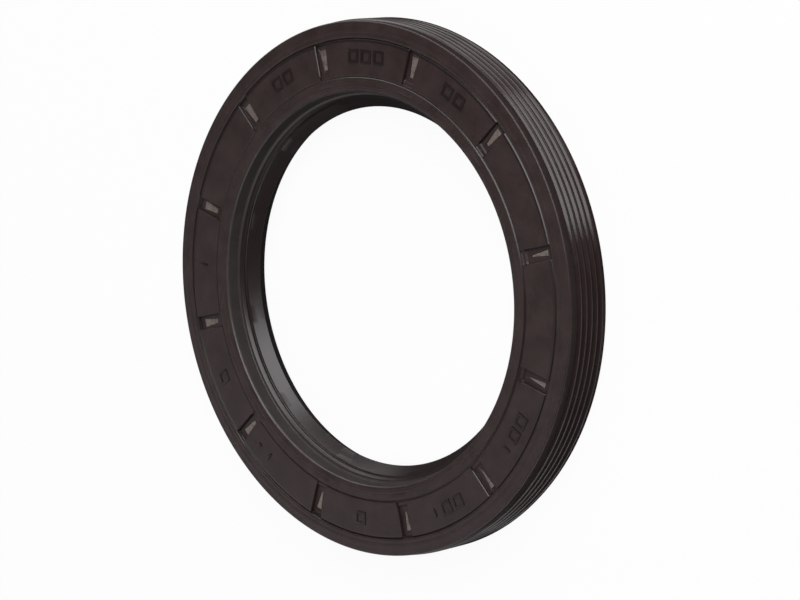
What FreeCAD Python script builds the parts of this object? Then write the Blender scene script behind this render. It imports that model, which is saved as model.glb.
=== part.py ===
"""Radial shaft seal for a 55 mm shaft in an 80 mm housing bore, 8 mm wide.

Three pieces: a moulded elastomer body with a ribbed outer sleeve and a sealing lip, a pressed
steel case ring bonded inside it, and a garter spring in the groove behind the lip.
The seal lies flat on its open oil side, axis along Z, with its closed face up.
"""
import math
import os
import re

import FreeCAD
import Part
import Sketcher

SHEET = "Sizes"

# Driving dimensions in millimetres. Depths are measured down from the closed face,
# and heights up from the oil side that the seal lies on.
SIZES = {
    # Standard size, and how far the free seal is over and under it
    "shaft_diameter": 55.0,
    "housing_bore": 80.0,
    "width": 8.0,
    "press_allowance": 0.50,
    "lip_interference": 0.82,
    # Ribbed outer sleeve
    "rib_count": 5,
    "rib_pitch": 1.18,
    "rib_height": 0.45,
    "rib_crest": 0.46,
    "lowest_rib": 0.84,
    "sleeve_wall": 0.85,
    "land_relief": 0.25,
    "shoulder_width": 1.30,
    "shoulder_drop": 0.07,
    "foot_relief": 0.30,
    "end_cover": 0.65,
    # Closed face: a raised inner ring inside a lower, flat band. The ring takes its share of
    # the width from the opening to the rim, and the rubber that clasps the steel's inner
    # edge takes its share of the width from the opening to the case
    "face_recess": 0.15,
    "rim_width": 1.45,
    "ring_share": 0.2756,
    "face_cover": 0.62,
    "clasp_share": 0.18,
    # Slots that the mould's support blades leave, each with a window down to the steel.
    # Their lengths along the radius are shares of the flat band's width
    "slot_count": 12,
    "slot_inset": 0.08,
    "slot_width": 2.05,
    "slot_depth": 0.50,
    "shelf_share": 0.15,
    "shelf_depth": 0.26,
    "window_start": 0.09,
    "window_stop": 0.13,
    "window_wide": 1.30,
    "window_narrow": 0.45,
    # Pressed steel case ring
    "case_wall": 0.90,
    "case_bend": 0.60,
    # Opening, its chamfer a share of the inner ring's width, and the membrane down to the lip
    "lip_reach": 2.36,
    "opening_chamfer": 0.20,
    "opening_draft": 0.10,
    "ledge_depth": 2.35,
    "ledge_slope": 0.13,
    "ledge_width": 0.42,
    "root_width": 1.00,
    # Lip head
    "lip_depth": 5.12,
    "lip_land": 0.20,
    "air_cone_rise": 1.47,
    "air_cone_run": 1.41,
    "neck_height": 0.55,
    "oil_cone_drop": 1.45,
    "oil_cone_run": 0.73,
    "head_base": 1.45,
    "horn_height": 0.60,
    # Garter spring and its groove
    "coil_diameter": 1.90,
    "spring_offset": 2.41,
    "spring_lift": 0.22,
    "spring_seat": 0.02,
    "groove_mouth": 0.62,
    "groove_lip": 0.25,
}

# Places that several features share, as expressions of the sheet's cells
CREST_R = "((housing_bore + press_allowance) / 2)"
ROOT_R = f"({CREST_R} - rib_height)"
LAND_R = f"({CREST_R} - land_relief)"
CASE_OUTER_R = f"({ROOT_R} - sleeve_wall)"
CASE_INNER_R = f"({CASE_OUTER_R} - case_wall)"
LIP_R = "((shaft_diameter - lip_interference) / 2)"
OPENING_R = f"({LIP_R} + lip_reach)"
BAND_R = f"({LAND_R} - shoulder_width - rim_width)"
RING_R = f"({OPENING_R} + ring_share * ({BAND_R} - {OPENING_R}))"
BAND_WIDTH = f"({BAND_R} - {RING_R})"
OPENING_CHAMFER = f"(opening_chamfer * ({RING_R} - {OPENING_R}))"
FLANGE_R = f"({OPENING_R} + clasp_share * ({CASE_INNER_R} - {OPENING_R}))"
NECK_R = f"({LIP_R} + air_cone_run)"
SPRING_R = f"({LIP_R} + spring_offset)"
HEAD_R = f"({SPRING_R} + groove_mouth)"

TOP_RIB = "(lowest_rib + rib_pitch * (rib_count - 1))"
RIB_GAP = "(rib_pitch - rib_crest)"
FACE_Z = "(width - face_recess)"
FLANGE_TOP = f"({FACE_Z} - face_cover)"
FLANGE_LOW = f"({FLANGE_TOP} - case_wall)"
LEDGE_Z = "(width - ledge_depth)"
LIP_Z = "(width - lip_depth)"
CONE_TOP = f"({LIP_Z} + lip_land / 2 + air_cone_rise)"
HEAD_LOW = f"({LIP_Z} - lip_land / 2 - oil_cone_drop)"
SPRING_Z = f"({LIP_Z} + spring_lift)"
GROOVE_HALF = "(coil_diameter / 2 + spring_seat)"


def cells(text):
    """Turns each word of an expression into its cell of the sheet."""
    return re.sub(r"[a-z_]+", lambda word: f"{SHEET}.{word.group()}", text)


def value(owner, text):
    """The present value of an expression, as a plain number."""
    return float(owner.evalExpression(cells(text)))


def write_sheet(doc):
    """The spreadsheet of driving dimensions, one alias for each."""
    sheet = doc.addObject("Spreadsheet::Sheet", SHEET)
    for row, (alias, size) in enumerate(SIZES.items(), start=1):
        sheet.set(f"A{row}", alias)
        sheet.set(f"B{row}", str(size))
        sheet.setAlias(f"B{row}", alias)
    doc.recompute()


def origin_part(body, role):
    """One of the body's own origin planes or axes, by its role."""
    return next(item for item in body.Origin.OriginFeatures if item.Role == role)


def new_sketch(body, name, plane, lift=None):
    """An empty sketch on one of the body's origin planes, raised by an expression."""
    sketch = body.newObject("Sketcher::SketchObject", name)
    sketch.AttachmentSupport = (origin_part(body, plane), [""])
    sketch.MapMode = "FlatFace"
    if lift:
        sketch.setExpression("AttachmentOffset.Base.z", cells(lift))
    return sketch


def draw_outline(sketch, corners):
    """A closed outline of straight edges, each corner held by a pair of expressions."""
    points = [FreeCAD.Vector(value(sketch, across), value(sketch, up), 0) for across, up in corners]
    for point, following in zip(points, points[1:] + points[:1]):
        sketch.addGeometry(Part.LineSegment(point, following), False)
    for edge, (across, up) in enumerate(corners):
        following = (edge + 1) % len(corners)
        sketch.addConstraint(Sketcher.Constraint("Coincident", edge, 2, following, 1))
        for kind, text in (("DistanceX", across), ("DistanceY", up)):
            distance = Sketcher.Constraint(kind, -1, 1, edge, 1, value(sketch, text))
            index = sketch.addConstraint(distance)
            sketch.setExpression(f"Constraints[{index}]", cells(text))


def coil_corners(half_width):
    """An eight-sided section about the garter spring's centre line, by its half width."""
    corners = []
    for side in range(8):
        angle = math.radians(45 * side + 22.5)
        reach = 1 / math.cos(math.radians(22.5))
        across = f"{SPRING_R} + {reach * math.cos(angle):.5f} * {half_width}"
        up = f"{SPRING_Z} + {reach * math.sin(angle):.5f} * {half_width}"
        corners.append((across, up))
    return corners


def turn(body, kind, name, sketch):
    """A full turn of a sketch about the seal's axis, added or cut away."""
    feature = body.newObject(kind, name)
    feature.Profile = sketch
    feature.ReferenceAxis = (sketch, ["V_Axis"])
    feature.Angle = 360
    sketch.Visibility = False
    return feature


def cut_down(body, name, depth, corners):
    """A pocket of the given outline, straight down from the closed face's flat band."""
    sketch = new_sketch(body, f"{name}_outline", "XY_Plane", FACE_Z)
    draw_outline(sketch, corners)
    pocket = body.newObject("PartDesign::Pocket", name)
    pocket.Profile = sketch
    pocket.setExpression("Length", cells(depth))
    sketch.Visibility = False
    return pocket


def make_rubber_ring(body):
    """The whole elastomer section, around the steel case, turned about the axis."""
    section = new_sketch(body, "rubber_section", "XZ_Plane")
    draw_outline(section, [
        # Outside of the sleeve up to the closed face
        (f"{CREST_R} - foot_relief", "0"),
        (CREST_R, "lowest_rib - rib_crest / 2"),
        (CREST_R, f"{TOP_RIB} + rib_crest / 2"),
        (LAND_R, f"{TOP_RIB} + rib_crest / 2 + {RIB_GAP} / 2"),
        (LAND_R, f"{FACE_Z} - shoulder_drop"),
        (f"{LAND_R} - shoulder_width", FACE_Z),
        # Across the closed face to the opening
        (RING_R, FACE_Z),
        (RING_R, "width"),
        (f"{OPENING_R} + {OPENING_CHAMFER}", "width"),
        (OPENING_R, f"width - {OPENING_CHAMFER}"),
        # Down the opening and over the ledge to the sealing edge
        (f"{OPENING_R} - opening_draft", LEDGE_Z),
        (f"{NECK_R} + ledge_width", f"{LEDGE_Z} - ledge_slope"),
        (NECK_R, f"{CONE_TOP} + neck_height"),
        (NECK_R, CONE_TOP),
        (LIP_R, f"{LIP_Z} + lip_land / 2"),
        (LIP_R, f"{LIP_Z} - lip_land / 2"),
        # Around the lip head and up the hidden side of the membrane
        (f"{LIP_R} + oil_cone_run", HEAD_LOW),
        (f"{LIP_R} + oil_cone_run + head_base", HEAD_LOW),
        (HEAD_R, f"{HEAD_LOW} + horn_height"),
        (HEAD_R, f"{SPRING_Z} + {GROOVE_HALF} + groove_lip"),
        (f"{FLANGE_R} + root_width", FLANGE_LOW),
        # Against the steel case and back down to the oil side
        (FLANGE_R, FLANGE_LOW),
        (FLANGE_R, FLANGE_TOP),
        (f"{CASE_OUTER_R} - case_bend", FLANGE_TOP),
        (CASE_OUTER_R, f"{FLANGE_TOP} - case_bend"),
        (CASE_OUTER_R, "end_cover"),
        (CASE_INNER_R, "end_cover"),
        (CASE_INNER_R, "0"),
    ])
    turn(body, "PartDesign::Revolution", "rubber_ring", section)


def cut_rib_gaps(body):
    """The V grooves that leave the sleeve's ribs standing, one gap below each upper rib."""
    section = new_sketch(body, "rib_gap_section", "XZ_Plane")
    middle = "(lowest_rib + rib_pitch / 2)"
    draw_outline(section, [
        (ROOT_R, middle),
        (f"{CREST_R} + rib_height", f"{middle} - {RIB_GAP}"),
        (f"{CREST_R} + rib_height", f"{middle} + {RIB_GAP}"),
    ])
    gap = turn(body, "PartDesign::Groove", "rib_gap", section)
    gaps = body.newObject("PartDesign::LinearPattern", "rib_gaps")
    gaps.Originals = [gap]
    gaps.Direction = (origin_part(body, "Z_Axis"), [""])
    gaps.setExpression("Length", cells("rib_pitch * (rib_count - 2)"))
    gaps.setExpression("Occurrences", cells("rib_count - 1"))
    body.Tip = gaps


def cut_spring_groove(body):
    """The groove that holds the garter spring, narrower at its mouth than the coil."""
    section = new_sketch(body, "spring_groove_section", "XZ_Plane")
    draw_outline(section, coil_corners(GROOVE_HALF))
    turn(body, "PartDesign::Groove", "spring_groove", section)


def cut_slots(body):
    """The ring of slots: a shelf, a deeper floor and a tapered window down to the steel."""
    shelf_r = f"({RING_R} + slot_inset)"
    floor_r = f"({shelf_r} + shelf_share * {BAND_WIDTH})"
    window_low_r = f"({floor_r} + window_start * {BAND_WIDTH})"
    window_high_r = f"({BAND_R} - window_stop * {BAND_WIDTH})"
    shelf = cut_down(body, "slot_shelf", "shelf_depth", [
        (shelf_r, "-slot_width / 2"),
        (BAND_R, "-slot_width / 2"),
        (BAND_R, "slot_width / 2"),
        (shelf_r, "slot_width / 2"),
    ])
    floor = cut_down(body, "slot_floor", "slot_depth", [
        (floor_r, "-slot_width / 2"),
        (BAND_R, "-slot_width / 2"),
        (BAND_R, "slot_width / 2"),
        (floor_r, "slot_width / 2"),
    ])
    window = cut_down(body, "window", "face_cover", [
        (window_low_r, "-window_narrow / 2"),
        (window_high_r, "-window_wide / 2"),
        (window_high_r, "window_wide / 2"),
        (window_low_r, "window_narrow / 2"),
    ])
    slots = body.newObject("PartDesign::PolarPattern", "slots")
    slots.Originals = [shelf, floor, window]
    slots.Axis = (origin_part(body, "Z_Axis"), [""])
    slots.Angle = 360
    slots.setExpression("Occurrences", cells("slot_count"))
    body.Tip = slots


def make_seal_body(doc):
    """The elastomer moulding: sleeve, closed face, membrane and lip head in one piece."""
    body = doc.addObject("PartDesign::Body", "seal_body")
    body.Label = "seal_body"
    make_rubber_ring(body)
    cut_rib_gaps(body)
    cut_spring_groove(body)
    cut_slots(body)
    return body


def make_case_ring(doc):
    """The case: sheet steel pressed to an L section, flange up behind the closed face."""
    body = doc.addObject("PartDesign::Body", "case_ring")
    body.Label = "case_ring"
    section = new_sketch(body, "steel_section", "XZ_Plane")
    draw_outline(section, [
        (CASE_INNER_R, "end_cover"),
        (CASE_OUTER_R, "end_cover"),
        (CASE_OUTER_R, f"{FLANGE_TOP} - case_bend"),
        (f"{CASE_OUTER_R} - case_bend", FLANGE_TOP),
        (FLANGE_R, FLANGE_TOP),
        (FLANGE_R, FLANGE_LOW),
        (CASE_INNER_R, FLANGE_LOW),
    ])
    turn(body, "PartDesign::Revolution", "steel_ring", section)
    return body


def make_garter_spring(doc):
    """The garter spring, as the closed ring that its touching coils fill."""
    body = doc.addObject("PartDesign::Body", "garter_spring")
    body.Label = "garter_spring"
    section = new_sketch(body, "coil_section", "XZ_Plane")
    draw_outline(section, coil_corners("(coil_diameter / 2)"))
    turn(body, "PartDesign::Revolution", "coil_ring", section)
    return body


def check_and_export(doc, bodies):
    """Stops if a feature failed, then writes one STEP file for each piece."""
    for item in doc.Objects:
        if {"Invalid", "Error"} & set(item.State):
            raise RuntimeError(f"{item.Label} did not compute")
    for body in bodies:
        if body.Shape.isNull() or not body.Shape.isValid():
            raise RuntimeError(f"{body.Label} has no valid shape")
        body.Shape.exportStep(f"parts/{body.Label}.step")


os.makedirs("parts", exist_ok=True)
document = FreeCAD.newDocument("shaft_seal")
write_sheet(document)
pieces = [make_seal_body(document), make_case_ring(document), make_garter_spring(document)]
document.recompute()
check_and_export(document, pieces)
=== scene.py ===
import math
import random

import bmesh
import bpy
import numpy as np
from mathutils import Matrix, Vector


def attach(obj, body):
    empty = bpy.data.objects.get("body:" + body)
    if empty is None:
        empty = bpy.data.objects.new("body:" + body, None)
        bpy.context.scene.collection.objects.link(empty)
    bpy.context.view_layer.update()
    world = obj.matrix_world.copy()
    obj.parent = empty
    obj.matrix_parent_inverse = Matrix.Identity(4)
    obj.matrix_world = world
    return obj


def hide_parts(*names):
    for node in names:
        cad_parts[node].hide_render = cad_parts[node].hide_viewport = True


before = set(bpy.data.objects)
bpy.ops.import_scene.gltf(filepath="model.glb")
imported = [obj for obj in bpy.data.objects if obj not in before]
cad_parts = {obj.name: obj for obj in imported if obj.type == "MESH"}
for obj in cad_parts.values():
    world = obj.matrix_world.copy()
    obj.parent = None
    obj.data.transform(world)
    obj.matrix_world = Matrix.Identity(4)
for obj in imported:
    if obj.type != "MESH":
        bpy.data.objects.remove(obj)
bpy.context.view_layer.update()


# Case ring. Cold rolled sheet steel, 0.9 mm thick, pressed to an L section and phosphated so
# that the rubber bonds to it. Its flange shows through the windows of the closed face, and
# its bore and the flange's underside show from the oil side. Sizes are in millimetres.
MM = 0.001
STEEL_OUTSIDE = 38.95
STEEL_INSIDE = 38.05
STEEL_FOOT = 0.65
FLANGE_EDGE = 31.0
FLANGE_TOP = 7.23
FLANGE_UNDER = 6.33
OUTER_BEND = 1.2
INNER_BEND = 0.3
CUT_EDGE = 0.06
STEEL_COLUMNS = 288
WELD_DISTANCE = 0.0005
SHARP_ANGLE = 40


def soften(corners, closed=False):
    """Corners (radius, height, cut, steps) as an outline, where a corner with a cut is rounded."""
    outline = []
    for index, (radius, height, cut, steps) in enumerate(corners):
        corner = np.array((radius, height))
        at_end = not closed and index in (0, len(corners) - 1)
        if not cut or at_end:
            outline.append((radius, height))
            continue
        sides = []
        for neighbour in (corners[index - 1], corners[(index + 1) % len(corners)]):
            away = np.array(neighbour[:2]) - corner
            sides.append(corner + away / np.linalg.norm(away) * cut)
        for step in range(steps + 1):
            along = step / steps
            point = (1 - along) ** 2 * sides[0] + 2 * along * (1 - along) * corner
            outline.append(tuple(point + along ** 2 * sides[1]))
    return outline


def make_piece(name, points, faces, materials, slot, finishes=None):
    """A closed mesh piece from points in millimetres, smooth but for its sharp corners."""
    mesh = bpy.data.meshes.new(name)
    mesh.from_pydata((np.asarray(points) * MM).tolist(), [], faces)
    for material in materials:
        mesh.materials.append(material)
    if finishes is not None:
        mesh.polygons.foreach_set("material_index", finishes)
    shell = bmesh.new()
    shell.from_mesh(mesh)
    bmesh.ops.remove_doubles(shell, verts=shell.verts[:], dist=WELD_DISTANCE * MM)
    unused = [point for point in shell.verts if not point.link_faces]
    bmesh.ops.delete(shell, geom=unused, context="VERTS")
    bmesh.ops.recalc_face_normals(shell, faces=shell.faces[:])
    shell.to_mesh(mesh)
    shell.free()
    mesh.shade_smooth()
    mesh.set_sharp_from_angle(angle=math.radians(SHARP_ANGLE))
    piece = bpy.data.objects.new(name, mesh)
    bpy.context.scene.collection.objects.link(piece)
    even = piece.modifiers.new("even_shading", "WEIGHTED_NORMAL")
    even.keep_sharp = True
    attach(piece, "root")
    return piece


def turned(outline, columns):
    """Points and faces of a closed outline turned about the seal's axis."""
    turn = np.arange(columns) * 2 * math.pi / columns
    points = [(r * math.cos(a), r * math.sin(a), h) for r, h in outline for a in turn]
    faces = []
    for row in range(len(outline)):
        this, following = row * columns, (row + 1) % len(outline) * columns
        for column in range(columns):
            beside = (column + 1) % columns
            faces.append((this + column, this + beside, following + beside, following + column))
    return points, faces


def new_finish(name):
    """An empty node material with its shader, its output and the place on the piece."""
    finish = bpy.data.materials.new(name)
    finish.use_nodes = True
    nodes, links = finish.node_tree.nodes, finish.node_tree.links
    nodes.clear()
    output = nodes.new("ShaderNodeOutputMaterial")
    shader = nodes.new("ShaderNodeBsdfPrincipled")
    place = nodes.new("ShaderNodeTexCoord")
    links.new(shader.outputs["BSDF"], output.inputs["Surface"])
    return finish, nodes, links, shader, place.outputs["Object"]


def grain(nodes, links, place, scale, detail=3.0, roughness=0.55):
    """Fine irregular texture of the surface, as a value about one half."""
    noise = nodes.new("ShaderNodeTexNoise")
    noise.inputs["Scale"].default_value = scale
    noise.inputs["Detail"].default_value = detail
    noise.inputs["Roughness"].default_value = roughness
    links.new(place, noise.inputs["Vector"])
    return noise.outputs["Fac"]


def spread(nodes, links, source, taken, given):
    """A value taken from one range and given in another, held at its ends."""
    ramp = nodes.new("ShaderNodeMapRange")
    for socket, number in zip(("From Min", "From Max", "To Min", "To Max"), taken + given):
        ramp.inputs[socket].default_value = number
    links.new(source, ramp.inputs["Value"])
    return ramp.outputs["Result"]


def between(nodes, links, share, first, second):
    """A colour from the first, which may be another node's, to the second, by a share."""
    mix = nodes.new("ShaderNodeMix")
    mix.data_type = "RGBA"
    if isinstance(first, tuple):
        mix.inputs["A"].default_value = (*first, 1)
    else:
        links.new(first, mix.inputs["A"])
    mix.inputs["B"].default_value = (*second, 1)
    links.new(share, mix.inputs["Factor"])
    return mix.outputs["Result"]


def raise_texture(nodes, links, shader, height, depth_mm):
    """Gives the shader a bump whose full height is a depth in millimetres."""
    bump = nodes.new("ShaderNodeBump")
    bump.inputs["Strength"].default_value = 1.0
    bump.inputs["Distance"].default_value = depth_mm * MM
    links.new(height, bump.inputs["Height"])
    links.new(bump.outputs["Normal"], shader.inputs["Normal"])


def phosphated_steel():
    """Warm grey sheet steel with a fine crystalline coat and stains of rubber on it."""
    coat_dark, coat_light = (0.17, 0.135, 0.120), (0.29, 0.240, 0.218)
    rubber_stain = (0.085, 0.064, 0.056)
    finish, nodes, links, shader, place = new_finish("phosphated_steel")
    crystals = grain(nodes, links, place, scale=5200, detail=4.0)
    stain = grain(nodes, links, place, scale=900)
    coat = between(nodes, links, spread(nodes, links, crystals, (0.35, 0.65), (0, 1)),
                   coat_dark, coat_light)
    stained = between(nodes, links, spread(nodes, links, stain, (0.52, 0.70), (0, 0.6)),
                      coat, rubber_stain)
    links.new(stained, shader.inputs["Base Color"])
    links.new(spread(nodes, links, stain, (0.3, 0.7), (0.46, 0.62)), shader.inputs["Roughness"])
    shader.inputs["Metallic"].default_value = 0.55
    raise_texture(nodes, links, shader, crystals, depth_mm=0.012)
    return finish


steel_outline = soften([
    (STEEL_INSIDE, STEEL_FOOT, CUT_EDGE, 2),
    (STEEL_OUTSIDE, STEEL_FOOT, CUT_EDGE, 2),
    (STEEL_OUTSIDE, FLANGE_TOP, OUTER_BEND, 10),
    (FLANGE_EDGE, FLANGE_TOP, CUT_EDGE, 2),
    (FLANGE_EDGE, FLANGE_UNDER, CUT_EDGE, 2),
    (STEEL_INSIDE, FLANGE_UNDER, INNER_BEND, 6),
], closed=True)
case_ring = make_piece("pressed_case", *turned(steel_outline, STEEL_COLUMNS),
                       [phosphated_steel()], "case_steel")
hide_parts("case_ring")


# Rubber moulding. One piece of dark brown fluoroelastomer, moulded around the steel: ribbed
# sleeve, closed face, membrane and lip head. The support blades of the mould leave twelve
# slots in the closed face, each with a torn window down to the steel.
FACE = 7.85
RING_TOP = 8.0
RING_EDGE = 31.6
BAND_EDGE = 37.25
CREST = 40.25
LAND = 40.0
BEVEL_FOOT = 7.62
RIB_HEIGHT = 0.45
RIB_PITCH = 1.18
LOWEST_RIB = 0.84
RIBS = 5
POINTS_A_RIB = 10
RIB_FULLNESS = 1.25
FINE_LINE = 0.014
SHELF_DEPTH = 0.26
SLOT_DEPTH = 0.50
WINDOW_START = 32.95
WINDOW_STOP = 36.60
WINDOW_ROWS = 11
SLOTS = 12
COLUMNS_BETWEEN = 19
FACE_FINISH_ENDS = 7.9
PAINTED_SHEEN_ENDS = 5.55
SPRING_RADIUS = 29.5
SPRING_HEIGHT = 3.10
GROOVE_RADIUS = 0.97
GROOVE_STEPS = 16
HEAD_RADIUS = 30.12

# The rows of the section run from the sleeve's foot over the face and round the lip head. Each
# row holds radius, height between the slots, height in a slot, and finish of the strip after it
# The edge finish's darker colour is painted shade in the groove, the step and the slots' walls
FACE_FINISH, SLEEVE_FINISH, LIP_FINISH, BORE_PAINTED_SHEEN_FINISH, PAINTED_SHADE_EDGE_FINISH = 0, 1, 2, 3, 4
rows = []


def lay(points, finish):
    """Adds rows that are the same all round the seal."""
    rows.extend((radius, height, height, finish) for radius, height in points)


root = CREST - RIB_HEIGHT
lay(soften([
    (STEEL_INSIDE, 0.0, 0, 0),
    (39.96, 0.0, 0.07, 2),
    (39.99, 0.33, 0.04, 1),
    (39.87, 0.46, 0.05, 2),
    (40.07, 0.60, 0.05, 1),
]) + [(40.17, 0.67), (40.23, 0.76)], SLEEVE_FINISH)
ribs = []
for step in range(int((RIBS - 0.5) * POINTS_A_RIB) + 1):
    turn = step / POINTS_A_RIB
    swell = abs(math.cos(math.pi * turn)) ** RIB_FULLNESS
    ribs.append((root + RIB_HEIGHT * swell, LOWEST_RIB + RIB_PITCH * turn))
lay(ribs, SLEEVE_FINISH)
for radius, height in soften([
    (root, 6.17, 0, 0),
    (LAND, 6.33, 0.08, 3),
    (LAND, BEVEL_FOOT, 0.05, 2),
    (39.84, 7.795, 0.05, 2),
    (39.15, FACE - 0.055, 0.06, 2),
    (38.78, FACE - 0.015, 0.04, 2),
    (38.50, FACE - 0.012, 0, 0),
])[1:]:
    lay([(radius, height)], FACE_FINISH if height > BEVEL_FOOT else SLEEVE_FINISH)

# Two fine lines that the mould's joint leaves on the rim
lay([(38.46, FACE - 0.012), (38.43, FACE - 0.026), (38.40, FACE - 0.011),
     (38.24, FACE - 0.010), (38.21, FACE - 0.025), (38.18, FACE - 0.009),
     (37.80, FACE - 0.004), (37.50, FACE)], FACE_FINISH)


def lay_over_slots(steps, finish):
    """Adds rows of the face whose depth in a slot may differ from that between the slots."""
    rows.extend((radius, FACE + between_slots, FACE + in_slot, finish)
                for radius, between_slots, in_slot in steps)


# The line groove around the band, with the slots' outer ends in its inner wall, drawn darker as
# painted shade
lay_over_slots([
    (37.475, -0.020, -0.020), (37.445, -0.150, -0.150), (37.41, -0.185, -0.185),
    (37.37, -0.175, -0.180), (37.30, -0.110, -0.200), (37.235, -0.050, -0.430),
    (37.19, -0.010, -0.490), (37.14, 0.0, -SLOT_DEPTH),
], PAINTED_SHADE_EDGE_FINISH)

# The band, with each slot's floor, its slope up to the shelf, and the shelf
lay_over_slots([(36.85, 0.0, -SLOT_DEPTH)], FACE_FINISH)
window_first = len(rows)
for step in range(WINDOW_ROWS):
    radius = WINDOW_STOP + (WINDOW_START - WINDOW_STOP) * step / (WINDOW_ROWS - 1)
    lay_over_slots([(radius, 0.0, -SLOT_DEPTH)], FACE_FINISH)
lay_over_slots([
    (32.80, 0.0, -SLOT_DEPTH), (32.72, 0.0, -SLOT_DEPTH), (32.68, 0.0, -0.485),
    (32.46, 0.0, -0.275), (32.42, 0.0, -SHELF_DEPTH), (32.14, 0.0, -SHELF_DEPTH),
    (32.08, 0.0, -SHELF_DEPTH), (32.04, 0.0, -0.250),
], FACE_FINISH)

# The small groove at the foot of the inner ring and the step up to it, drawn darker as painted
# shade, then two fine lines on the ring
lay_over_slots([
    (31.90, 0.0, -0.120), (31.84, -0.025, -0.080), (31.79, -0.060, -0.065),
    (31.73, -0.045, -0.045), (31.66, 0.030, 0.030), (31.60, 0.118, 0.118),
], PAINTED_SHADE_EDGE_FINISH)
lay_over_slots([(31.55, 0.142, 0.142), (31.48, 0.150, 0.150)], FACE_FINISH)
lay([(30.64, RING_TOP), (30.61, RING_TOP - FINE_LINE), (30.58, RING_TOP),
     (30.22, RING_TOP), (30.19, RING_TOP - FINE_LINE), (30.16, RING_TOP)], FACE_FINISH)

# Opening, ledge, lip cone, sealing edge and the head's oil side. The mould's face, bore and
# lip have finishes of their own, which change at two heights; the bore's lighter, greyer colour is
# a painted sheen
for radius, height in soften([
    (30.14, RING_TOP, 0, 0),
    (29.46, RING_TOP, 0.66, 7),
    (29.37, 5.63, 0.10, 3),
    (28.95, 5.52, 0.08, 3),
    (28.60, 5.07, 0.04, 2),
    (28.56, 5.00, 0.04, 2),
    (28.58, 4.80, 0.04, 2),
    (28.46, 4.62, 0.05, 2),
    (28.47, 4.47, 0.03, 1),
    (27.80, 3.72, 0, 0),
    (27.09, 2.98, 0.05, 2),
    (27.09, 2.78, 0.05, 2),
    (27.82, 1.33, 0.08, 2),
    (29.27, 1.33, 0.25, 3),
    (HEAD_RADIUS, 1.93, 0.16, 3),
    (HEAD_RADIUS, 2.34, 0, 0),
]):
    finish = BORE_PAINTED_SHEEN_FINISH if height > PAINTED_SHEEN_ENDS else LIP_FINISH
    lay([(radius, height)], FACE_FINISH if height > FACE_FINISH_ENDS else finish)

# Groove that grips the garter spring, then the membrane's hidden side up to the steel
mouth = math.degrees(math.acos((HEAD_RADIUS - SPRING_RADIUS) / GROOVE_RADIUS))
for step in range(GROOVE_STEPS + 1):
    angle = math.radians(-mouth - (360 - 2 * mouth) * step / GROOVE_STEPS)
    lay([(SPRING_RADIUS + GROOVE_RADIUS * math.cos(angle),
          SPRING_HEIGHT + GROOVE_RADIUS * math.sin(angle))], LIP_FINISH)
lay(soften([
    (HEAD_RADIUS, 3.90, 0, 0),
    (HEAD_RADIUS, 4.32, 0.30, 3),
    (32.0, FLANGE_UNDER, 0, 0),
]), LIP_FINISH)

# The bonded side against the steel, with rows that meet those of the windows
lay([(FLANGE_EDGE, FLANGE_UNDER), (FLANGE_EDGE, FLANGE_TOP)], LIP_FINISH)
bond_first = len(rows)
for step in range(WINDOW_ROWS):
    radius = WINDOW_START + (WINDOW_STOP - WINDOW_START) * step / (WINDOW_ROWS - 1)
    lay([(radius, FLANGE_TOP)], LIP_FINISH)
lay(soften([
    (37.0, FLANGE_TOP, 0, 0),
    (STEEL_OUTSIDE, FLANGE_TOP, OUTER_BEND, 6),
    (STEEL_OUTSIDE, STEEL_FOOT, 0, 0),
    (STEEL_INSIDE, STEEL_FOOT, 0, 0),
]), LIP_FINISH)

# The columns of one twelfth cross the slot first, then the plain face up to the next slot.
# Across the slot each side has a rounded edge, a wall, the floor and the window's edge. Each
# step of the wall: distance from the slot's middle, share of the slot's depth
WALL = ((1.16, 0.0), (1.12, 0.0), (1.02, 0.20), (0.992, 0.90), (0.95, 1.0))
WALL_DEPTH_LEAST = 0.06
WINDOW_BORDER = 0.07
half_columns = len(WALL) + 3
slot_columns = 2 * half_columns + 1
pitch_columns = slot_columns + COLUMNS_BETWEEN
columns = pitch_columns * SLOTS
torn = random.Random(55)


def swing(azimuth, towards, most):
    """What the mould's blades, worn more on one side of the ring, add at an azimuth."""
    return most * math.cos(math.radians(azimuth - towards))


def window_edges(slot):
    """The torn edges of one window: for each row its two half widths, then its start and stop."""
    wide_half, narrow_half, narrow_least, least_half, tear = 0.59, 0.20, 0.07, 0.05, 0.035
    azimuth = 360 / SLOTS * slot
    wide = wide_half + swing(azimuth, 60, 0.175) + torn.uniform(-0.03, 0.03)
    narrow = narrow_half + swing(azimuth, 70, 0.14) + torn.uniform(-0.03, 0.03)
    lean = torn.uniform(-0.06, 0.06)
    edges = []
    for step in range(WINDOW_ROWS):
        share = step / (WINDOW_ROWS - 1)
        taper = wide + (max(narrow, narrow_least) - wide) * share ** 0.8
        edges.append([max(least_half, taper + torn.uniform(-tear, tear) + side * lean)
                      for side in (-1, 1)])
    start = WINDOW_START + torn.uniform(-0.10, 0.20)
    stop = WINDOW_STOP + 0.10 + swing(azimuth, -50, 0.13) + torn.uniform(-0.01, 0.01)
    return edges, start, stop


windows = [window_edges(slot) for slot in range(SLOTS)]


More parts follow.
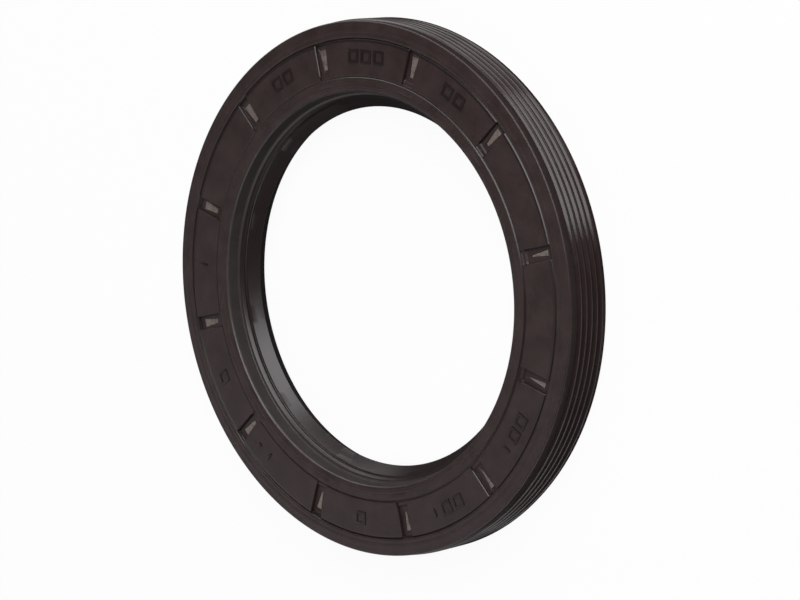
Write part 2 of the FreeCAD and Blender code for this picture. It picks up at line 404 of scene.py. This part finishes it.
def slot_point(row, slot, column):
    """Place across the slot, radius and height of one point in a slot."""
    radius, open_height, slot_height, _ = rows[row]
    edges, start, stop = windows[slot]
    step = bond_first + WINDOW_ROWS - 1 - row if row >= bond_first else row - window_first
    held = min(max(step, 0), WINDOW_ROWS - 1)
    from_middle = column - half_columns
    side = -1 if from_middle < 0 else 1
    from_edge = half_columns - abs(from_middle)
    if from_edge < len(WALL):
        across, share = WALL[from_edge]
        return side * across, radius, open_height + (slot_height - open_height) * share
    on_window = from_edge - len(WALL)
    edge = edges[held][0 if side < 0 else 1]
    border = edge + WINDOW_BORDER
    across = ((WALL[-1][0] + border) / 2, border, edge, 0.0)[on_window]
    height = slot_height
    if held == step:
        if on_window >= 2 and 0 < step < WINDOW_ROWS - 1:
            height = FLANGE_TOP
        if on_window >= 1:
            share = held / (WINDOW_ROWS - 1)
            radius += (start - WINDOW_START) * share + (stop - WINDOW_STOP) * (1 - share)
    return side * across, radius, height


points = []
for row, (radius, height, _, _) in enumerate(rows):
    held = min(max(radius, RING_EDGE), BAND_EDGE)
    slot_edge = math.asin(WALL[0][0] / held)
    for slot in range(SLOTS):
        middle = 2 * math.pi * slot / SLOTS
        for column in range(slot_columns):
            across, at_radius, at_height = slot_point(row, slot, column)
            angle = middle + math.asin(across / min(max(at_radius, RING_EDGE), BAND_EDGE))
            points.append((at_radius * math.cos(angle), at_radius * math.sin(angle), at_height))
        gap = 2 * math.pi / SLOTS - 2 * slot_edge
        for column in range(1, COLUMNS_BETWEEN + 1):
            angle = middle + slot_edge + gap * column / (COLUMNS_BETWEEN + 1)
            points.append((radius * math.cos(angle), radius * math.sin(angle), height))

# Faces between the rows, but for the windows, where the steel shows. The slots' walls have
# the darker, glossier edge finish, whose darker colour is painted shade
faces, finishes = [], []
for row, (_, open_height, slot_height, row_finish) in enumerate(rows):
    following = (row + 1) % len(rows)
    has_wall = open_height - slot_height > WALL_DEPTH_LEAST
    has_windows = any(first < row < first + WINDOW_ROWS - 2 for first in (window_first, bond_first))
    for column in range(columns):
        in_pitch = column % pitch_columns
        if has_windows and in_pitch in (half_columns - 1, half_columns):
            continue
        beside = (column + 1) % columns
        faces.append((row * columns + column, row * columns + beside,
                      following * columns + beside, following * columns + column))
        on_wall = 1 <= min(in_pitch, slot_columns - 2 - in_pitch) < len(WALL) - 1
        finishes.append(PAINTED_SHADE_EDGE_FINISH if has_wall and on_wall else row_finish)


def combined(nodes, links, operation, first, second):
    """Two values, or a value and a number, put through one sum or product."""
    maths = nodes.new("ShaderNodeMath")
    maths.operation = operation
    for socket, item in zip(maths.inputs, (first, second)):
        if isinstance(item, (int, float)):
            socket.default_value = item
        else:
            links.new(item, socket)
    return maths.outputs["Value"]


def from_axis(nodes, links, place):
    """Distance of a place from the seal's axis."""
    flat = nodes.new("ShaderNodeVectorMath")
    flat.operation = "MULTIPLY"
    flat.inputs[1].default_value = (1, 1, 0)
    links.new(place, flat.inputs[0])
    reach = nodes.new("ShaderNodeVectorMath")
    reach.operation = "LENGTH"
    links.new(flat.outputs["Vector"], reach.inputs[0])
    return reach.outputs["Value"]


def rubber(name, dark, light, roughness, ior, texture_mm, lines_mm, mottle=1.0):
    """Dark brown elastomer: mottled colour, fine grain, and the mould's turning lines."""
    finish, nodes, links, shader, place = new_finish(name)
    cloud = grain(nodes, links, place, scale=260, detail=4.0, roughness=0.6)
    speck = grain(nodes, links, place, scale=4200, detail=2.0)
    fine = grain(nodes, links, place, scale=9000, detail=2.0)
    tone = combined(nodes, links, "ADD",
                    spread(nodes, links, cloud, (0.36, 0.66), (0, 0.7 * mottle)),
                    spread(nodes, links, speck, (0.45, 0.75), (0, 0.5)))
    links.new(between(nodes, links, tone, dark, light), shader.inputs["Base Color"])
    polish = (roughness - 0.03 * mottle, roughness + 0.04 * mottle)
    links.new(spread(nodes, links, cloud, (0.3, 0.7), polish), shader.inputs["Roughness"])
    lines = nodes.new("ShaderNodeTexNoise")
    lines.noise_dimensions = "1D"
    lines.inputs["Scale"].default_value = 5200
    lines.inputs["Detail"].default_value = 2
    links.new(from_axis(nodes, links, place), lines.inputs["W"])
    height = combined(nodes, links, "ADD",
                      combined(nodes, links, "MULTIPLY", fine, texture_mm),
                      combined(nodes, links, "MULTIPLY", lines.outputs["Fac"], lines_mm))
    raise_texture(nodes, links, shader, height, depth_mm=1.0)
    shader.inputs["IOR"].default_value = ior
    return finish


moulding = make_piece("rubber_moulding", points, faces, [
    rubber("face_rubber", (0.023, 0.0128, 0.0128), (0.040, 0.0242, 0.0242),
           roughness=0.38, ior=1.36, texture_mm=0.016, lines_mm=0.005),
    rubber("sleeve_rubber", (0.019, 0.0108, 0.0108), (0.031, 0.0188, 0.0188),
           roughness=0.16, ior=1.36, texture_mm=0.002, lines_mm=0.0, mottle=0.6),
    rubber("lip_rubber", (0.014, 0.0080, 0.0080), (0.023, 0.0142, 0.0142),
           roughness=0.31, ior=1.43, texture_mm=0.0001, lines_mm=0.0004, mottle=0.25),
    # Lighter, greyer colour of the opening's wall: a painted sheen, standing in for the white that
    # the wall mirrors
    rubber("painted_sheen_bore_rubber", (0.037, 0.030, 0.030), (0.055, 0.047, 0.046),
           roughness=0.30, ior=1.42, texture_mm=0.002, lines_mm=0.002, mottle=0.5),
    # Darker colour painted as shade in the groove, the step and the slots' walls, with gloss for
    # their glints
    rubber("painted_shade_edge_rubber", (0.014, 0.0080, 0.0080), (0.022, 0.0135, 0.0135),
           roughness=0.29, ior=1.42, texture_mm=0.001, lines_mm=0.0, mottle=0.5),
], "elastomer", finishes)
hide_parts("seal_body")


# Mould marks. Plain square outlines, short bars and a dot, cut into the mould as counting
# marks, so that they stand up from the band between the slots in the same rubber, drawn darker as
# painted shade.
MARK_RADIUS = 34.7
MARK_HEIGHT = 0.14
MARK_SHOULDER = 0.85 * MARK_HEIGHT
MARK_ROOT = 0.03
MARK_DRAFT = 0.01
MARK_STEPS = 8
MARK_SPACING = 2.55
BOX, SHORT, DOT = (2.0, 2.0), (1.4, 0.46), (0.70, 0.70)
MARKS = {
    -345: (BOX, BOX, BOX), -15: (BOX, BOX), -105: (BOX, BOX, SHORT), -135: (BOX, BOX, SHORT),
    -165: (BOX,), -202: (SHORT, DOT), -225: (BOX,), -255: (SHORT,), -315: (BOX, BOX),
}


def on_band(azimuth, outward, aside, height):
    """A point of a mark, from how far it lies out from the axis and aside of its azimuth."""
    turn = math.radians(azimuth)
    return (outward * math.cos(turn) - aside * math.sin(turn),
            outward * math.sin(turn) + aside * math.cos(turn), FACE + height)


def raised_bar(azimuth, aside, length, width):
    """One bar along the radius, or a dot, with a soft top edge: its points and faces."""
    straight = (length - width) / 2
    rings = ((width / 2 + MARK_DRAFT, -MARK_ROOT), (width / 2, MARK_SHOULDER),
             (width / 2 - 0.03, MARK_HEIGHT * 0.96), (width / 2 - 0.07, MARK_HEIGHT))
    bar_points, bar_faces = [], []
    for reach, height in rings:
        for end in (1, -1):
            for step in range(MARK_STEPS + 1):
                angle = math.pi * step / MARK_STEPS - math.pi / 2 + (0 if end > 0 else math.pi)
                outward = MARK_RADIUS + end * straight + reach * math.cos(angle)
                sideways = aside + reach * math.sin(angle)
                bar_points.append(on_band(azimuth, outward, sideways, height))
    around = 2 * (MARK_STEPS + 1)
    for level in range(len(rings) - 1):
        for step in range(around):
            beside = (step + 1) % around
            bar_faces.append((level * around + step, level * around + beside,
                              (level + 1) * around + beside, (level + 1) * around + step))
    bar_faces.append(tuple(range(around))[::-1])
    bar_faces.append(tuple(range((len(rings) - 1) * around, len(rings) * around)))
    return bar_points, bar_faces


def raised_frame(azimuth, aside, length, width):
    """One square outline with sharp corners and a soft top edge: its points and faces."""
    half, bevel = 0.20, 0.06
    section = ((half + MARK_DRAFT, -MARK_ROOT), (half, MARK_SHOULDER),
               (half - bevel, MARK_HEIGHT), (bevel - half, MARK_HEIGHT),
               (-half, MARK_SHOULDER), (-half - MARK_DRAFT, -MARK_ROOT))
    frame_points, frame_faces = [], []
    corners = ((1, 1), (-1, 1), (-1, -1), (1, -1))
    for end, side in corners:
        for reach, height in section:
            outward = MARK_RADIUS + end * (length / 2 - half + reach)
            sideways = aside + side * (width / 2 - half + reach)
            frame_points.append(on_band(azimuth, outward, sideways, height))
    sides = len(section)
    for corner in range(len(corners)):
        following = (corner + 1) % len(corners)
        for level in range(sides):
            above = (level + 1) % sides
            frame_faces.append((corner * sides + level, following * sides + level,
                                following * sides + above, corner * sides + above))
    return frame_points, frame_faces


mark_points, mark_faces = [], []
for azimuth, marks in MARKS.items():
    for number, mark in enumerate(marks):
        aside = ((len(marks) - 1) / 2 - number) * MARK_SPACING
        shape = raised_frame if mark == BOX else raised_bar
        new_points, new_faces = shape(azimuth, aside, *mark)
        start = len(mark_points)
        mark_points += new_points
        mark_faces += [tuple(start + corner for corner in face) for face in new_faces]
# The marks' darker colour is painted shade, standing in for the shading of the raised strokes
mould_marks = make_piece("mould_marks", mark_points, mark_faces, [
    rubber("painted_shade_mark_rubber", (0.010, 0.0055, 0.0055), (0.018, 0.0105, 0.0105),
           roughness=0.30, ior=1.40, texture_mm=0.004, lines_mm=0.0),
], "elastomer")


# Garter spring. Bright drawn wire, close coiled and joined end to end, which snaps into the
# groove behind the sealing edge and presses the lip on to the shaft.
WIRE = 0.40
COIL_RADIUS = 0.75
COILS = 440
STEPS_A_COIL = 14
WIRE_SIDES = 6


def spring_steel():
    """Drawn wire: bright, with fine scratches and a thin uneven film of grease."""
    finish, nodes, links, shader, place = new_finish("spring_wire")
    patches = grain(nodes, links, place, scale=1500)
    links.new(between(nodes, links, spread(nodes, links, patches, (0.35, 0.65), (0, 1)),
                      (0.42, 0.42, 0.43), (0.60, 0.60, 0.60)), shader.inputs["Base Color"])
    links.new(spread(nodes, links, patches, (0.3, 0.7), (0.24, 0.38)), shader.inputs["Roughness"])
    shader.inputs["Metallic"].default_value = 1.0
    scratches = grain(nodes, links, place, scale=12000, detail=2.0)
    raise_texture(nodes, links, shader, scratches, depth_mm=0.003)
    return finish


turns = np.arange(COILS * STEPS_A_COIL) / (COILS * STEPS_A_COIL) * 2 * math.pi
coil = turns * COILS
outward = np.stack([np.cos(turns), np.sin(turns), 0 * turns], 1)
upward = np.array((0.0, 0.0, 1.0))
from_core = np.cos(coil)[:, None] * outward + np.sin(coil)[:, None] * upward
centre = SPRING_RADIUS * outward + COIL_RADIUS * from_core + SPRING_HEIGHT * upward
ahead = np.roll(centre, -1, 0) - np.roll(centre, 1, 0)
ahead /= np.linalg.norm(ahead, axis=1)[:, None]
beside_core = np.cross(ahead, from_core)
wire_points = []
for side in range(WIRE_SIDES):
    angle = 2 * math.pi * side / WIRE_SIDES
    wire_points.append(centre + WIRE / 2 * (math.cos(angle) * from_core
                                            + math.sin(angle) * beside_core))
wire_points = np.stack(wire_points, 1).reshape(-1, 3)
wire_faces = []
for step in range(len(turns)):
    following = (step + 1) % len(turns)
    for side in range(WIRE_SIDES):
        beside = (side + 1) % WIRE_SIDES
        wire_faces.append((step * WIRE_SIDES + side, step * WIRE_SIDES + beside,
                           following * WIRE_SIDES + beside, following * WIRE_SIDES + side))
garter = make_piece("coiled_spring", wire_points, wire_faces, [spring_steel()], "spring_steel")
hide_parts("garter_spring")


# Table. A matt white sheet that the seal lies on. The camera sees it as white with the seal's
# faint shadow. In reflections it carries a painted shadow: it is mirrored nearly black close round
# the seal and as white only from some way outside it. The light that it gives the seal is that of a
# dark sheet, a painted shade on the seal.
TABLE_HALF = 3.0
TABLE_TOP = -0.02 * MM
PAINTED_SHADOW_FADES_FROM = 44 * MM
PAINTED_SHADOW_GONE_AT = 53 * MM


def seen_by(nodes, links, *kinds):
    """One for rays of any of these kinds, otherwise zero."""
    path = nodes.new("ShaderNodeLightPath")
    seen = path.outputs[kinds[0]]
    for kind in kinds[1:]:
        seen = combined(nodes, links, "MAXIMUM", seen, path.outputs[kind])
    return seen


def mixed(nodes, links, share, first, second):
    """Two shaders mixed by a share."""
    mix = nodes.new("ShaderNodeMixShader")
    links.new(share, mix.inputs["Fac"])
    links.new(first, mix.inputs[1])
    links.new(second, mix.inputs[2])
    return mix.outputs["Shader"]


def white_sheet_with_painted_shade():
    """Matt white for the camera and for far reflections, a painted shadow in near reflections, and
    dark as painted shade for all other light.
    """
    # dark is the painted shade that the sheet gives the seal in all light but the camera's
    dark, pale, fibre_tone = 0.02, 0.78, 0.03
    glow_for_camera, mirrored_glow_past_painted_shadow = 0.95, (0.02, 0.90)
    finish, nodes, links, shader, place = new_finish("white_sheet_with_painted_shade")
    shader.inputs["Roughness"].default_value = 0.9
    camera_ray = seen_by(nodes, links, "Is Camera Ray")
    mirror_ray = seen_by(nodes, links, "Is Glossy Ray", "Is Transmission Ray")
    fibres = grain(nodes, links, place, scale=600, detail=2.0)
    paper = combined(nodes, links, "ADD",
                     combined(nodes, links, "MULTIPLY", fibres, fibre_tone),
                     spread(nodes, links, camera_ray, (0, 1), (dark, pale)))
    links.new(paper, shader.inputs["Base Color"])
    glow = nodes.new("ShaderNodeEmission")
    glow.inputs["Color"].default_value = (1, 1, 1, 1)
    # Painted shadow in reflections: the sheet is mirrored nearly black close round the seal and
    # white further out
    mirrored_white_past_painted_shadow = spread(nodes, links, from_axis(nodes, links, place),
                    (PAINTED_SHADOW_FADES_FROM, PAINTED_SHADOW_GONE_AT), mirrored_glow_past_painted_shadow)
    share = combined(nodes, links, "MAXIMUM",
                     combined(nodes, links, "MULTIPLY", camera_ray, glow_for_camera),
                     combined(nodes, links, "MULTIPLY", mirror_ray, mirrored_white_past_painted_shadow))
    output = next(node for node in nodes if node.type == "OUTPUT_MATERIAL")
    links.new(mixed(nodes, links, share, shader.outputs["BSDF"], glow.outputs["Emission"]),
              output.inputs["Surface"])
    return finish


table_mesh = bpy.data.meshes.new("white_table")
table_mesh.from_pydata([(x, y, TABLE_TOP) for x, y in (
    (-TABLE_HALF, -TABLE_HALF), (TABLE_HALF, -TABLE_HALF),
    (TABLE_HALF, TABLE_HALF), (-TABLE_HALF, TABLE_HALF))], [], [(0, 1, 2, 3)])
table_mesh.materials.append(white_sheet_with_painted_shade())
table = bpy.data.objects.new("white_table", table_mesh)
bpy.context.scene.collection.objects.link(table)


# Backdrop. A plain studio, white behind the seal and in its reflections near the horizon, that
# falls off above and gives the seal only a little even light.
ROOM_LIGHT = 0.11
WHITE_FADES = (0.0, 0.22)

world = bpy.data.worlds.new("studio")
bpy.context.scene.world = world
world.use_nodes = True
nodes, links = world.node_tree.nodes, world.node_tree.links
nodes.clear()
room = nodes.new("ShaderNodeBackground")
room.inputs["Color"].default_value = (1, 1, 1, 1)
room.inputs["Strength"].default_value = ROOM_LIGHT
backdrop = nodes.new("ShaderNodeBackground")
backdrop.inputs["Color"].default_value = (1, 1, 1, 1)
direction = nodes.new("ShaderNodeTexCoord")
height_above = nodes.new("ShaderNodeSeparateXYZ")
links.new(direction.outputs["Generated"], height_above.inputs["Vector"])
links.new(spread(nodes, links, height_above.outputs["Z"], WHITE_FADES, (1.0, ROOM_LIGHT)),
          backdrop.inputs["Strength"])
backdrop_seen = seen_by(nodes, links, "Is Camera Ray", "Is Glossy Ray", "Is Transmission Ray")
output = nodes.new("ShaderNodeOutputWorld")
links.new(mixed(nodes, links, backdrop_seen, room.outputs["Background"],
                backdrop.outputs["Background"]), output.inputs["Surface"])


# Lamps. Soft boxes for the face and the wall above the ribs, and long low strips whose
# reflections draw the ribs, the bore and the lip cone.
def soft_box(name, direction, distance, size, brightness):
    """A soft lamp, in metres, aimed at the seal. A brightness of 1 is white."""
    lamp = bpy.data.lights.new(name, "AREA")
    lamp.shape = "RECTANGLE"
    lamp.size, lamp.size_y = size
    lamp.energy = brightness * math.pi * size[0] * size[1]
    box = bpy.data.objects.new(name, lamp)
    bpy.context.scene.collection.objects.link(box)
    aim = Vector(direction).normalized()
    box.location = aim * distance
    box.rotation_euler = aim.to_track_quat("Z", "Y").to_euler()


soft_box("key_box", (0.67, -0.27, 0.69), 0.60, (0.52, 0.36), 5.8)
soft_box("side_box", (0.93, 0.16, 0.30), 0.65, (0.50, 0.16), 2.2)
soft_box("side_strip", (0.95, 0.32, 0.13), 0.70, (1.50, 0.20), 3.4)
soft_box("left_strip", (-0.82, -0.57, 0.08), 0.70, (0.70, 0.10), 2.4)
soft_box("front_strip", (-0.40, -0.90, 0.16), 0.70, (1.10, 0.09), 2.6)
soft_box("fill_box", (-0.58, 0.18, 0.79), 0.80, (0.60, 0.60), 0.9)
soft_box("back_box", (-0.51, 0.68, 0.51), 0.80, (0.20, 0.20), 2.0)


# Camera. A long lens that looks down on the seal from one side, turned about its own axis so
# that the seal, which lies on the table, seems to stand.
HALF_PIXEL = 0.5 / 800
lens = bpy.data.cameras.new("camera")
lens.lens = 123.3877
lens.sensor_width = 36.0
lens.clip_start = 0.01
lens.clip_end = 20.0
lens.shift_x = -HALF_PIXEL
lens.shift_y = HALF_PIXEL
camera = bpy.data.objects.new("camera", lens)
camera.location = (0.13449190, -0.25283809, 0.29854391)
camera.rotation_euler = tuple(math.radians(angle) for angle in (-8.60175, 43.15109, -73.99146))
bpy.context.scene.collection.objects.link(camera)
bpy.context.scene.camera = camera
bpy.context.scene.view_settings.view_transform = "Standard"
